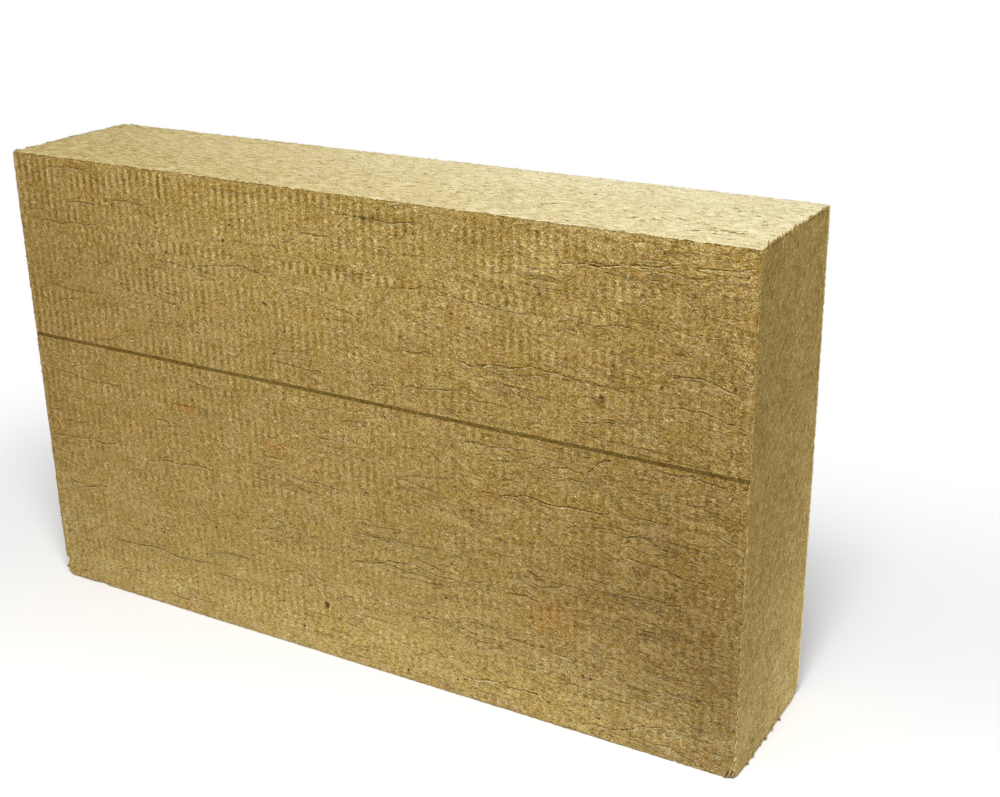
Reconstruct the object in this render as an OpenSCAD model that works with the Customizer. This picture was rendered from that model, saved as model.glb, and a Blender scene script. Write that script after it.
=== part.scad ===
// Mineral wool facade board: one slab of bonded stone fibre, sawn square on
// every side, with a marking line run along its outer face. It stands on a
// long edge, as it is set on the wall.
// X runs along the length, Y through the thickness and Z up the face. The
// origin is the middle of the standing edge, and the marked face looks to -Y.

/* [Board] */
// Length of the board
board_len = 1000; // [600:10:1300]
// Height of the face, from the standing edge to the upper edge
board_h = 600; // [500:10:800]
// Thickness of the board
board_t = 200; // [60:10:300]

/* [Edges] */
// Round worn on the upright corners, between the faces and the sawn ends
upright_r = 3; // [1:0.5:8]
// Round worn on the long edges, between the faces and the upper or standing edge
long_r = 2.5; // [1:0.5:8]
// Round worn on the short edges, between the ends and the upper or standing edge
end_r = 3; // [1:0.5:8]

/* [Marking line] */
// Height of the middle of the line above the standing edge
line_h = 358; // [100:1:450]
// Width of the line
line_w = 4.5; // [2:0.5:10]
// Depth of the line, where its heat has sunk the fibres
line_d = 0.8; // [0.3:0.1:3]

/* [Hidden] */
$fn = 64;
// How far a cut runs past the faces that it opens
past = 1;
board_size = [board_len, board_t, board_h];

// A rectangle about the origin, its corners rounded to r
module eased_rectangle(size, r) {
    square([size[0] - 2 * r, size[1]], center = true);
    square([size[0], size[1] - 2 * r], center = true);
    for (x = [-1, 1], y = [-1, 1])
        translate([x * (size[0] / 2 - r), y * (size[1] / 2 - r)])
            circle(r);
}

// The slab, centred on the origin: the space that its three eased outlines share
module eased_slab(size) {
    intersection() {
        linear_extrude(size[2], center = true)
            eased_rectangle([size[0], size[1]], upright_r);
        rotate([90, 0, 0])
            linear_extrude(size[1], center = true)
                eased_rectangle([size[0], size[2]], end_r);
        rotate([90, 0, 90])
            linear_extrude(size[0], center = true)
                eased_rectangle([size[1], size[2]], long_r);
    }
}

// The sunk line, from end to end of the marked face
module marking_cut() {
    translate([0, -board_t / 2, line_h])
        cube([board_len + 2 * past, 2 * line_d, line_w], center = true);
}

module wool_board() {
    color("darkkhaki")
        difference() {
            translate([0, 0, board_h / 2])
                eased_slab(board_size);
            marking_cut();
        }
}

wool_board();
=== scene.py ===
"""Looks of the mineral wool facade board: its pressed faces with the oven
conveyor's imprint, its sawn edges and ends, loose fibres, frayed arrises,
charred bits, a pale floor, soft lamps and the camera."""

import math

import bmesh
import bpy
import numpy as np
from mathutils import Matrix, Vector


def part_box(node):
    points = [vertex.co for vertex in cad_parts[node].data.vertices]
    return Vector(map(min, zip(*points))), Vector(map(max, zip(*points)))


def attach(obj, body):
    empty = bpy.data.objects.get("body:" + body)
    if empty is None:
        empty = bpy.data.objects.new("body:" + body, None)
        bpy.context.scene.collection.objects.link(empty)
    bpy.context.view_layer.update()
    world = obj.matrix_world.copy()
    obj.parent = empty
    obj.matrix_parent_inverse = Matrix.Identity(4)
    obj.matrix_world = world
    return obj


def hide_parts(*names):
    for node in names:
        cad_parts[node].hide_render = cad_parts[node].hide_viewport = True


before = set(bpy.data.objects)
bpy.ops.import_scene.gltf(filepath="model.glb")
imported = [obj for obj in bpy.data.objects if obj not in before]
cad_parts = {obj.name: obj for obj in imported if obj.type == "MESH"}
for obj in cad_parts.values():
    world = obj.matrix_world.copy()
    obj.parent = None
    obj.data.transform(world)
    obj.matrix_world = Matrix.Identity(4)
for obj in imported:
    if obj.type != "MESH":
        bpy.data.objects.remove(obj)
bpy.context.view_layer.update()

MM = 0.001
BOARD = "wool_board"
LOW, HIGH = (np.array(corner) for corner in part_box(BOARD))
LENGTH, THICK, HEIGHT = HIGH - LOW
LEFT = LOW[0]

# The marking line: height of its middle, width and depth
LINE_HEIGHT = 358 * MM
LINE_WIDTH = 4.5 * MM
LINE_DEPTH = 0.8 * MM

# Round worn on the arrises
ARRIS = 2 * MM

# Cells of the board's mesh along it, through it and up it. The marked face has all
# of them, and the other sides half as many along and up.
CELLS = (360, 38, 164)

# Imprint of the curing oven's slats: bars RIB_PITCH apart, in rows. A slat is
# 160 mm of rows, and its first row sits half a pitch off the others. Low on the
# face the bars drift along by RIB_DRIFT of a pitch.
RIB_PITCH = 11 * MM
RIB_CREST = 4.0 * MM
RIB_RELIEF = 0.30 * MM
RIB_DRIFT = 0.3
DRIFT_HEIGHTS = (280 * MM, 60 * MM)
SLAT_TOP = 518 * MM
SLAT_ROWS = (21 * MM, 19 * MM, 40 * MM, 40 * MM, 40 * MM)
SLAT_HEIGHT = sum(SLAT_ROWS)
ROW_GAP = 6 * MM

# Spacing of the grid on which the creases' distances are worked out, and how far
# from a crease they matter
CREASE_GRID = 0.5 * MM
CREASE_REACH = 12 * MM

# Creases of the marked face, each a depth from 0 to 1 and its points, in
# millimetres from the left end and above the standing edge
CREASES = (
    (0.5, (32, 576), (58, 585), (82, 588), (117, 588), (128, 584), (140, 577), (155, 573)),
    (0.5, (160, 555), (185, 557), (215, 554)),
    (0.5, (20, 522), (42, 517), (95, 519), (132, 521)),
    (0.6, (86, 543), (100, 547), (135, 546)),
    (0.5, (20, 428), (60, 430), (105, 429), (130, 431)),
    (0.6, (35, 402), (50, 409), (65, 414), (82, 416)),
    (0.6, (278, 489), (300, 490), (314, 493), (345, 497), (362, 499), (378, 494), (394, 492)),
    (0.4, (198, 402), (225, 407), (250, 407), (278, 409)),
    (0.7, (540, 455), (546, 466), (553, 477), (562, 488), (570, 496)),
    (0.7, (561, 427), (575, 428), (600, 430), (625, 433)),
    (0.6, (586, 389), (612, 389), (642, 393), (655, 395), (672, 402)),
    (0.4, (395, 400), (425, 402), (444, 407), (461, 412)),
    (0.5, (567, 501), (590, 504), (612, 510), (630, 509), (646, 504)),
    (0.6, (652, 504), (690, 500), (725, 497), (757, 498)),
    (0.5, (693, 506), (697, 512), (704, 516)),
    (0.6, (506, 578), (545, 577), (580, 576), (620, 578)),
    (0.7, (780, 559), (790, 559), (800, 560)),
    (0.5, (92, 479), (100, 481), (108, 483)),
    (0.4, (8, 252), (20, 253), (32, 254)),
    (0.5, (27, 237), (50, 242), (75, 245)),
    (0.5, (5, 216), (40, 218), (84, 222)),
    (0.4, (552, 389), (530, 393), (500, 390)),
    (0.4, (475, 90), (560, 89), (600, 92), (690, 90)),
    (0.5, (972, 28), (986, 27), (994, 21)),
    (0.4, (350, 45), (380, 36), (417, 33)),
    (0.4, (105, 34), (130, 39), (155, 42)),
    (0.5, (210, 239), (218, 237), (226, 236)),
    (0.5, (797, 146), (804, 143), (811, 140)),
    (0.6, (664, 86), (687, 84), (702, 88)),
    (0.5, (495, 327), (510, 330), (526, 332)),
    (0.7, (752, 509), (754, 518), (760, 522)),
    (1.0, (802, 560), (825, 561), (842, 563), (858, 567), (876, 569), (900, 571), (916, 574)),
    (0.7, (932, 574), (952, 575), (974, 576), (996, 581)),
    (0.5, (862, 567), (888, 563), (912, 566), (940, 563), (968, 565)),
    (0.5, (805, 499), (840, 500), (864, 502)),
    (0.6, (822, 478), (828, 487), (836, 494)),
    (0.9, (655, 431), (695, 433), (732, 435), (762, 437), (800, 434), (828, 432), (862, 430)),
    (0.8, (912, 455), (922, 459), (938, 460), (956, 457), (986, 451)),
    (0.6, (898, 420), (925, 425), (950, 424), (972, 417), (996, 412)),
    (0.5, (660, 334), (688, 336), (742, 341)),
    (0.9, (800, 300), (810, 315), (820, 333), (830, 344), (846, 351)),
    (0.6, (762, 320), (776, 327), (812, 329)),
    (1.0, (682, 278), (700, 279), (717, 281), (738, 286), (768, 282), (800, 285), (825, 285), (845, 288)),
    (0.7, (896, 351), (922, 349), (945, 350), (976, 346)),
    (0.8, (857, 263), (876, 268), (897, 264), (921, 259), (950, 252)),
    (0.8, (865, 241), (894, 238), (914, 236), (938, 231), (961, 232)),
    (0.6, (866, 196), (894, 197), (920, 194)),
    (0.6, (748, 180), (770, 179), (781, 182), (788, 188)),
    (0.6, (662, 159), (677, 162), (691, 165)),
    (0.7, (716, 159), (736, 160), (758, 157)),
    (0.6, (708, 97), (732, 99), (768, 99), (788, 95), (806, 94)),
    (1.0, (650, 29), (667, 29), (686, 34), (702, 35), (716, 32), (736, 35), (758, 34), (772, 27)),
    (0.9, (810, 12), (822, 17), (842, 18), (858, 20), (870, 24), (886, 34), (903, 38), (914, 41)),
    (0.6, (880, 19), (912, 17), (936, 15), (952, 13)),
    (0.5, (20, 312), (50, 311), (80, 306), (112, 307), (155, 306)),
    (0.8, (86, 216), (88, 222), (102, 219), (122, 223)),
    (0.8, (173, 209), (195, 215), (212, 218), (230, 217), (246, 220), (264, 223), (284, 220)),
    (0.7, (196, 272), (207, 275), (217, 273), (222, 268)),
    (0.8, (226, 300), (248, 301), (268, 302)),
    (0.8, (27, 154), (45, 150), (57, 147), (73, 151), (98, 154)),
    (0.9, (102, 80), (130, 80), (152, 81), (176, 83), (196, 82), (226, 80)),
    (0.7, (175, 12), (190, 18), (212, 16), (226, 18)),
    (0.6, (277, 71), (302, 71), (334, 74)),
    (0.6, (25, 11), (35, 15), (47, 12)),
    (0.8, (498, 144), (520, 149), (540, 152), (551, 158), (574, 160), (600, 159), (646, 157)),
    (0.4, (380, 99), (408, 107), (432, 118)),
)

# How many sets of short creases are strewn between them
MINOR_CREASES = 150

# Dark bits seen on the marked face: millimetres from the left end and above the
# standing edge, and half their size. SMALL_BITS says how many small ones lie
# anywhere on each side. All bits' middles lie BIT_LIFT above the felt, among the
# strands.
BIT_LIFT = 0.6 * MM
SMALL_BITS = {"marked": 420, "back": 220, "upper": 60, "right": 60, "left": 60}
DARK_BITS = (
    (390, 457, 2.6), (456, 72, 3.0), (573, 160, 1.8), (632, 130, 2.0), (670, 252, 1.9),
    (417, 32, 1.8), (284, 140, 1.9), (574, 14, 1.8), (759, 522, 1.9), (901, 443, 1.9),
    (980, 455, 1.9), (164, 449, 1.8), (244, 500, 1.6), (335, 526, 1.9), (256, 430, 1.4),
    (346, 546, 1.6), (417, 426, 1.5), (400, 396, 1.6), (482, 451, 1.5), (409, 339, 1.5),
    (629, 415, 1.5), (671, 471, 1.6), (832, 420, 1.8), (834, 27, 1.6), (645, 22, 1.6),
    (51, 65, 1.5), (16, 72, 1.6), (31, 37, 1.5), (242, 50, 1.6), (192, 111, 1.5),
    (160, 114, 1.4), (85, 190, 1.5), (335, 528, 1.2), (540, 577, 2.2), (552, 579, 1.6),
    (814, 77, 1.9), (823, 76, 1.5), (800, 78, 1.2), (452, 75, 1.4), (393, 455, 1.4),
)

# Edges of the board, each by the axis it runs along and which side of the other
# two it lies on
UPPER_RIGHT, UPPER_LEFT = (1, 1, 1), (1, -1, 1)
LOWER_RIGHT, LOWER_LEFT = (1, 1, -1), (1, -1, -1)
FRONT_RIGHT, BACK_RIGHT = (2, 1, -1), (2, 1, 1)
FRONT_LEFT, BACK_LEFT = (2, -1, -1), (2, -1, 1)
UPPER_FRONT, UPPER_BACK = (0, -1, 1), (0, 1, 1)
LOWER_FRONT, LOWER_BACK = (0, -1, -1), (0, 1, -1)

# Numbers of the three finishes, which every piece of wool carries in this order:
# of the big pressed faces, of the long sawn edges and of the short sawn ends
FACE, EDGE, END = range(3)

# Torn spots of the upper edge: millimetres from the left end and from the marked
# face, how many cracks gather there, and how far they spread
UPPER_TEARS = (
    (925, 45, 6, 10),
    (950, 50, 3, 8),
    (930, 135, 4, 14),
    (980, 90, 3, 25),
    (885, 65, 4, 14),
    (840, 50, 5, 16),
    (765, 75, 5, 28),
    (745, 120, 3, 12),
    (650, 70, 4, 45),
    (560, 90, 3, 40),
)

# Knocks along the standing edge: the spot that was hit, how far off it is felt and
# how deep it went
KNOCKS = (
    ((HIGH[0], LOW[1], LOW[2]), 8 * MM, 3.0 * MM),
    ((HIGH[0], HIGH[1], LOW[2]), 12 * MM, 4.0 * MM),
    ((LEFT, LOW[1], LOW[2] + 23 * MM), 5 * MM, 4.5 * MM),
    ((LEFT, LOW[1], LOW[2] + 3 * MM), 5 * MM, 3.5 * MM),
    ((LEFT + 64 * MM, LOW[1], LOW[2]), 7 * MM, 2.2 * MM),
)

# Layers of strands. Each has its kind, its side or edge, its finish, how many,
# their width, tone against the felt and how far that varies. Then come, for
# lying ones and hairs, length, lean and its spread in degrees, and how they crowd,
# 1 being even, more to the left and less to the right; for cracks, how they bend;
# for rims, length and how far in; for tufts, height and how far down their feet go,
# and for skirts the same with the edge's two sides swapped. LAID gives each laid
# kind's bend and points, and BACKS how sharp each kind's back is. The felt under
# them all has UNDER_TONE.
LAID = {"lying": (0.14, 3), "hairs": (0.24, 4)}
BACKS = {"lying": 0.26, "hairs": 0.30, "cracks": 0.1, "rim": 0.4, "tufts": 0.55, "skirts": 0.55}
UNDER_TONE = -0.04
MARKED_STRANDS = (
    ("lying", "marked", FACE, 10000, 0.95 * MM, 0.01, 0.10, 10 * MM, -3, 22, 1.0),
    ("lying", "marked", FACE, 9000, 0.9 * MM, 0.01, 0.10, 9 * MM, -45, 20, 1.1),
    ("lying", "marked", FACE, 6000, 0.9 * MM, 0.01, 0.10, 8 * MM, 55, 30, 1.0),
)
MARKED_HAIRS = (
    ("hairs", "marked", FACE, 2600, 0.75 * MM, 0.16, 0.06, 7 * MM, -5, 30, 0.9),
    ("hairs", "marked", FACE, 3700, 0.75 * MM, 0.16, 0.06, 7 * MM, -45, 25, 1.3),
    ("hairs", "marked", FACE, 1500, 0.75 * MM, 0.16, 0.06, 6 * MM, 55, 35, 1.3),
    # The dark strokes of this last row are painted shade: the gaps between the fibres.
    ("hairs", "marked", FACE, 2000, 0.8 * MM, -0.24, 0.05, 5 * MM, 0, 45, 1.0),
)
BACK_STRANDS = (
    ("lying", "back", FACE, 7000, 1.4 * MM, 0.01, 0.11, 11 * MM, 3, 25, 1.0),
    ("lying", "back", FACE, 5500, 1.3 * MM, 0.02, 0.12, 9 * MM, 45, 35, 1.0),
)
SAWN_STRANDS = (
    ("lying", "upper", EDGE, 10000, 0.9 * MM, 0.00, 0.07, 13 * MM, 0, 9, 1.0),
    ("lying", "upper", EDGE, 150, 1.4 * MM, -0.34, 0.06, 5 * MM, 0, 14, 0.5),
    ("cracks", "upper", EDGE, sum(tear[2] for tear in UPPER_TEARS), 2.6 * MM, -0.36, 0.06, 0.10),
    ("lying", "right", END, 9500, 0.8 * MM, 0.00, 0.10, 9.5 * MM, 58, 15, 1.0),
    ("lying", "right", END, 160, 1.2 * MM, -0.26, 0.06, 7 * MM, 60, 14, 1.0),
    ("lying", "left", END, 3500, 0.9 * MM, 0.00, 0.10, 11 * MM, 58, 14, 1.0),
)
EDGE_STRANDS = (
    ("rim", FRONT_RIGHT, END, 340, 1.0 * MM, 0.00, 0.05, 7 * MM, 1.8 * MM),
    ("rim", BACK_RIGHT, END, 420, 1.4 * MM, 0.32, 0.08, 9 * MM, 1.6 * MM),
    ("rim", FRONT_LEFT, FACE, 420, 0.7 * MM, 0.05, 0.08, 9 * MM, 1.2 * MM),
    ("rim", BACK_LEFT, END, 420, 0.7 * MM, 0.12, 0.08, 9 * MM, 1.2 * MM),
    ("rim", UPPER_FRONT, FACE, 500, 0.9 * MM, -0.01, 0.05, 9 * MM, 0.8 * MM),
    ("rim", UPPER_BACK, EDGE, 400, 0.7 * MM, 0.04, 0.08, 9 * MM, 1.0 * MM),
    ("rim", LOWER_FRONT, FACE, 500, 0.8 * MM, 0.03, 0.08, 8 * MM, 1.2 * MM),
    ("rim", LOWER_BACK, FACE, 400, 0.8 * MM, 0.05, 0.08, 8 * MM, 1.2 * MM),
    ("tufts", UPPER_RIGHT, END, 300, 1.0 * MM, -0.04, 0.09, 4.4 * MM, 2.5 * MM),
    ("tufts", UPPER_LEFT, END, 360, 1.0 * MM, -0.02, 0.08, 1.2 * MM, 2.0 * MM),
    ("tufts", UPPER_FRONT, FACE, 600, 0.8 * MM, -0.01, 0.05, 0.4 * MM, 1.0 * MM),
    ("tufts", UPPER_BACK, EDGE, 500, 0.8 * MM, 0.00, 0.08, 0.9 * MM, 1.5 * MM),
    ("tufts", FRONT_LEFT, END, 260, 0.8 * MM, 0.00, 0.08, 0.9 * MM, 1.5 * MM),
    ("tufts", BACK_LEFT, END, 260, 0.8 * MM, 0.10, 0.08, 1.0 * MM, 1.5 * MM),
    ("skirts", LOWER_RIGHT, END, 70, 0.9 * MM, -0.08, 0.12, 3.0 * MM, 2.5 * MM),
    ("skirts", LOWER_LEFT, END, 80, 1.0 * MM, -0.05, 0.12, 2.0 * MM, 2.5 * MM),
)

# The pieces that those layers make up, in the order in which they are made
STRAND_PIECES = {
    "felt_strands_marked_1": MARKED_STRANDS,
    "felt_strands_marked_2": MARKED_STRANDS,
    "felt_hairs_marked": MARKED_HAIRS,
    "felt_strands_back": BACK_STRANDS,
    "felt_strands_sawn": SAWN_STRANDS,
    "edge_tufts": EDGE_STRANDS,
}

# How far above the felt strands lie on average, how much higher cracks lie, how deep
# the ends of both are sunk in the felt, and how far strands keep off the creases,
# off the marking line and above the ground
STRAND_LIFT = 0.14 * MM
CRACK_RISE = 0.5 * MM
END_SINK = 0.3 * MM
OFF_CREASES = 1.2 * MM
OFF_LINE = 0.6 * MM
OFF_GROUND = 0.3 * MM

# Where the clumps of a skirt lie along its edge
SKIRT_CLUMPS = np.array((35, 50, 75, 90, 110, 135)) * MM

# Strips of a fold, with its points and the lengths it is broken into, which run on
# into each other in creases of the depth UNBROKEN and more: how far each lies below
# the crease, its width, its tone, how far it stands out, how sharp its back is, and
# its tone's share where the crease is faint
FOLD_POINTS = 9
FOLD_REACH = (8 * MM, 24 * MM)
UNBROKEN = 0.45
# The first strip, the dark seam, is painted shade in the crease; the second is the raised lip, its pale
# tone a painted highlight of light from above.
FOLD_STRIPS = (
    (0.0 * MM, 1.0 * MM, -0.28, 0.36 * MM, 0.15, 0.10),
    (1.5 * MM, 1.4 * MM, 0.16, 0.42 * MM, 0.35, 0.50),
)

# Curls of felt at the knocked lower corner: how far their foot and top lie from the
# right end, their height and width, in millimetres, and their tone
# The curls of negative tone are painted shade: the dark slits between the pale curls.
CORNER_CURLS = (
    (-14.0, -10.5, 11, 2.4, 0.10),
    (-11.5, -8.0, 13, 1.8, -0.20),
    (-9.5, -5.5, 13, 2.8, 0.16),
    (-7.0, -3.5, 12, 1.6, -0.24),
    (-5.0, -2.0, 11, 2.8, 0.16),
    (-2.8, -0.8, 9, 1.6, -0.20),
)

# The studio: how bright the surround lights the board, the floor's tone, how
# far from the board it fades into the surround, and half its side
SURROUND_LIGHT = 0.36
FLOOR_TONE = 0.80
FLOOR_FADE = (0.05, 0.75)
FLOOR_REACH = 8.0

# Soft lamps, each with its place, where it aims, its two sides and its watts
LAMPS = (
    ("key_lamp", (0.85, -1.35, 2.4), (0.1, 0, 0.3), (0.9, 0.9), 84),
    ("fill_lamp", (-1.9, -2.2, 0.9), (0, 0, 0.2), (1.2, 1.2), 16),
    ("low_lamp", (-0.1, -1.7, 0.2), (0, 0, 0.1), (1.6, 0.3), 10),
)

# The camera's place, where it aims, how far it is rolled, in degrees, and its lens
CAMERA_PLACE = (0.9804, -1.4092, 0.9905)
CAMERA_AIM = (0.2094, -0.1, 0.3955)
CAMERA_ROLL = -0.874
CAMERA_LENS = 53.95

# Towards the standing edge the sides are painted paler, as the light that the white floor throws up: the
# heights where that starts and is full, and what each colour channel is times there, on the faces and on
# the ends
PAINTED_BOUNCE_HEIGHTS = (250 * MM, 0)
PAINTED_BOUNCE_TIMES = (1.26, 1.34, 1.62)
END_PAINTED_BOUNCE_TIMES = (1.26, 1.34, 1.50)

# How far the fibres of the sawn ends lean through the thickness, in degrees
END_LEAN = -32

# Names under which the share of each colour channel from the stains and the painted light is stored
TINTS = ("tint_red", "tint_green", "tint_blue")

# Soft stains, and broad paler and darker patches, of the marked face: millimetres from the left end and
# above the standing edge, half length, half height, and what each channel is times
STAINS_AND_PAINTED_LIGHT = (
    (250, 298, 14, 6, (1.00, 0.74, 0.50)),
    (385, 273, 18, 5, (1.02, 0.84, 0.68)),
    (695, 278, 20, 7, (0.98, 0.80, 0.68)),
    (282, 295, 5, 4, (0.55, 0.50, 0.45)),
    (545, 578, 16, 4, (0.72, 0.68, 0.70)),
    (715, 401, 12, 7, (0.74, 0.66, 0.66)),
    (905, 268, 22, 12, (0.84, 0.80, 0.86)),
    (540, 384, 14, 12, (0.86, 0.80, 0.74)),
    (828, 416, 12, 5, (0.74, 0.68, 0.70)),
    (440, 175, 10, 4, (0.96, 0.94, 0.55)),
    (161, 254, 9, 5, (1.25, 1.27, 1.32)),
    (770, 552, 24, 9, (1.18, 1.20, 1.25)),
    (825, 129, 8, 4, (1.22, 1.22, 1.25)),
    (956, 50, 8, 4, (0.66, 0.58, 0.80)),
    (770, 140, 40, 24, (1.00, 0.88, 0.80)),
    (880, 175, 150, 75, (0.86, 0.84, 0.84)),
    (970, 300, 110, 260, (0.87, 0.86, 0.86)),
    (0, 330, 70, 300, (0.90, 0.89, 0.88)),
    # Painted light: this and the next row are pale patches along the foot, the glow that the white floor
    # throws up.
    (780, 20, 150, 50, (1.08, 1.09, 1.06)),
    (450, 20, 70, 35, (1.07, 1.08, 1.10)),
    (430, 500, 230, 90, (1.08, 1.08, 1.08)),
    # Painted light: a pale band along the whole foot, the glow that the white floor throws up.
    (380, 35, 420, 34, (1.08, 1.08, 1.00)),
    (980, 90, 70, 110, (0.84, 0.83, 0.82)),
    (90, 60, 110, 70, (0.94, 0.94, 0.92)),
    (160, 470, 90, 100, (0.95, 0.95, 0.95)),
    (60, 480, 90, 110, (0.92, 0.90, 0.84)),
    (460, 260, 120, 60, (1.06, 1.06, 1.10)),
    (300, 120, 160, 60, (1.00, 0.99, 0.94)),
    (160, 430, 300, 230, (0.945, 0.955, 0.975)),
    (230, 100, 200, 50, (0.95, 0.95, 0.95)),
    (850, 80, 100, 60, (0.95, 0.95, 0.95)),
    (850, 340, 70, 60, (0.93, 0.93, 0.93)),
    (985, 575, 60, 30, (1.12, 1.12, 1.14)),
    (550, 80, 80, 60, (1.06, 1.06, 1.06)),
    (560, 340, 60, 50, (1.06, 1.06, 1.08)),
    (560, 300, 260, 420, (0.980, 1.00, 1.00)),
    (100, 450, 160, 220, (1.020, 1.00, 0.98)),
    (420, 585, 430, 55, (1.00, 1.00, 0.94)),
    (400, 110, 420, 45, (1.00, 1.00, 0.96)),
    (330, 225, 130, 40, (1.05, 1.05, 1.06)),
)


# ------------------------------------------------------------ numbers on a surface


def cloud(points, size, seed, octaves=1):
    """Smooth noise from -1 to 1 at the points, with lumps of the size given."""
    cells = 48
    table = np.random.default_rng(seed).uniform(-1, 1, (cells, cells, cells))
    total = np.zeros(len(points))
    weight = 1.0
    for octave in range(octaves):
        spot = points / np.asarray(size) * 2**octave + 7.3 * octave
        base = np.floor(spot).astype(int)
        part = spot - base
        part = part * part * (3 - 2 * part)
        value = np.zeros(len(points))
        for corner in np.ndindex(2, 2, 2):
            index = (base + corner) % cells
            share = np.prod(np.where(corner, part, 1 - part), axis=1)
            value += share * table[index[:, 0], index[:, 1], index[:, 2]]
        total += weight * value
        weight *= 0.5
    return total / (2 - 2 ** (1 - octaves))


def ease(value, start, end):
    """0 at start and 1 at end, smooth between."""
    share = np.clip((value - start) / (end - start), 0, 1)
    return share * share * (3 - 2 * share)


def hill(distance, width):
    """1 at no distance, and near 0 past the width."""
    return np.exp(-((distance / width) ** 2))


def slat_row(height):
    """How far each height lies inside its imprint row, and whether the row is
    the slat's first, which is half a pitch off."""
    below = (SLAT_TOP - height) % SLAT_HEIGHT
    edges = np.concatenate([[0], np.cumsum(SLAT_ROWS)])
    inside = np.min(np.abs(below[:, None] - edges[None, :]), axis=1)
    return inside, below < SLAT_ROWS[0]


def rib_strength(points):
    """Depth of the oven's imprint: full at the upper left of the face and patchy
    towards the lower right. And how many pitches its bars are off there."""
    across = (points[:, 0] - LEFT) / LENGTH
    up = points[:, 2] / HEIGHT
    inside, shifted = slat_row(points[:, 2])
    patchy = cloud(points * (1, 0, 1), (70 * MM, 1, 18 * MM), 11)
    fade = 0.58 + 0.77 * ease(up - 0.55 * across, 0.2, 1.0)
    uneven = cloud(points * (1, 0, 1), (17 * MM, 1, 11 * MM), 13)
    strength = np.where(shifted, 1.25, 1.0) * fade * (1 + 0.6 * patchy) * (0.9 + 0.6 * uneven)
    start, end = DRIFT_HEIGHTS
    drift = RIB_DRIFT * np.clip((start - points[:, 2]) / (start - end), 0, 1) ** 2
    return strength * ease(inside, 0, ROW_GAP), 0.5 * shifted + drift


def rib_wave(points, turned):
    """The imprint's bars along the board, from -1 to 1."""
    wander = 0.18 * cloud(points * (1, 0, 1), (30 * MM, 1, 11 * MM), 12)
    turn = (points[:, 0] - LEFT - RIB_CREST) / RIB_PITCH + wander
    return np.cos(2 * math.pi * (turn - turned))


def minor_creases(rng, count):
    """Short creases at random places, in sets of one to three and most of them to
    the right, and some along the bars between the imprint's rows."""
    edges = np.cumsum(SLAT_ROWS)
    made = []
    for _ in range(count):
        x, z = 6 + 950 * rng.random() ** 0.5, rng.uniform(8, 592)
        if rng.random() < 0.3:
            bar = rng.choice(edges) + SLAT_HEIGHT * rng.integers(-1, 4)
            z = (SLAT_TOP - bar) / MM + rng.normal(0, 1.2)
        start_slope = rng.normal(-0.02 - 0.0001 * x, 0.09)
        for line_number in range(rng.integers(1, 4)):
            slope = start_slope
            line = [(x + rng.normal(0, 8), z - line_number * rng.uniform(5, 9))]
            for _ in range(rng.integers(2, 7 + x // 130)):
                slope = 0.7 * slope + rng.normal(0, 0.10)
                step = rng.uniform(5, 12)
                line.append((line[-1][0] + step, line[-1][1] + slope * step))
            inside = all(5 < spot[0] < 995 and 8 < spot[1] < 592 for spot in line)
            if inside:
                made.append((rng.uniform(0.15, 0.55), *line))
    return made


def wandering(line, rng):
    """The line with points added between its own, each a little off it, as a
    crease in felt runs."""
    for _ in range(3):
        middle = (line[1:] + line[:-1]) / 2
        step = line[1:] - line[:-1]
        off = rng.normal(0, 0.05, len(step))[:, None] * np.stack([-step[:, 1], step[:, 0]], 1)
        joined = np.empty((2 * len(line) - 1, 2))
        joined[::2] = line
        joined[1::2] = middle + off
        line = joined
    return line


def crease_lines(creases, rng):
    """Each crease's depth and its points, in metres from the board's middle."""
    return [(depth, wandering(np.array(line, float) * MM + (LEFT, 0), rng)) for depth, *line in creases]


def crease_segments(lines, rng):
    """Start, end, depth at the start and depth at the end of each crease's
    stretches."""
    rows = []
    for depth, spots in lines:
        fade = np.sin(np.linspace(0, math.pi, len(spots))) ** 0.5
        fade = fade * depth * (1 + 0.3 * np.sin(rng.uniform(0, 6) + 0.6 * np.arange(len(spots))))
        rows.append(np.column_stack([spots[:-1], spots[1:], fade[:-1], fade[1:]]))
    return np.concatenate(rows)


def crease_map(segments):
    """Signed distance to the nearest crease, positive above it, and its depth, on
    an even grid over the marked face."""
    columns = int(round(LENGTH / CREASE_GRID)) + 1
    rows = int(round(HEIGHT / CREASE_GRID)) + 1
    grid_x = LEFT + CREASE_GRID * np.arange(columns)
    grid_z = CREASE_GRID * np.arange(rows)
    gaps = np.full((rows, columns), 1.0)
    depths = np.zeros((rows, columns))
    for x0, z0, x1, z1, depth0, depth1 in segments:
        window = (
            slice(*np.searchsorted(grid_z, (min(z0, z1) - CREASE_REACH, max(z0, z1) + CREASE_REACH))),
            slice(*np.searchsorted(grid_x, (min(x0, x1) - CREASE_REACH, max(x0, x1) + CREASE_REACH))),
        )
        off_x = grid_x[None, window[1]] - x0
        off_z = grid_z[window[0], None] - z0
        run_x, run_z = x1 - x0, z1 - z0
        share = np.clip((off_x * run_x + off_z * run_z) / (run_x**2 + run_z**2), 0, 1)
        gap_x, gap_z = off_x - share * run_x, off_z - share * run_z
        side = np.where(run_x * gap_z - run_z * gap_x < 0, -1, 1) * (1 if run_x > 0 else -1)
        distance = np.hypot(gap_x, gap_z)
        closer = distance < np.abs(gaps[window])
        gaps[window] = np.where(closer, side * distance, gaps[window])
        depths[window] = np.where(closer, depth0 + (depth1 - depth0) * share, depths[window])
    return gaps, depths * (1 - ease(np.abs(gaps), 4 * MM, 8 * MM))


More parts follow.
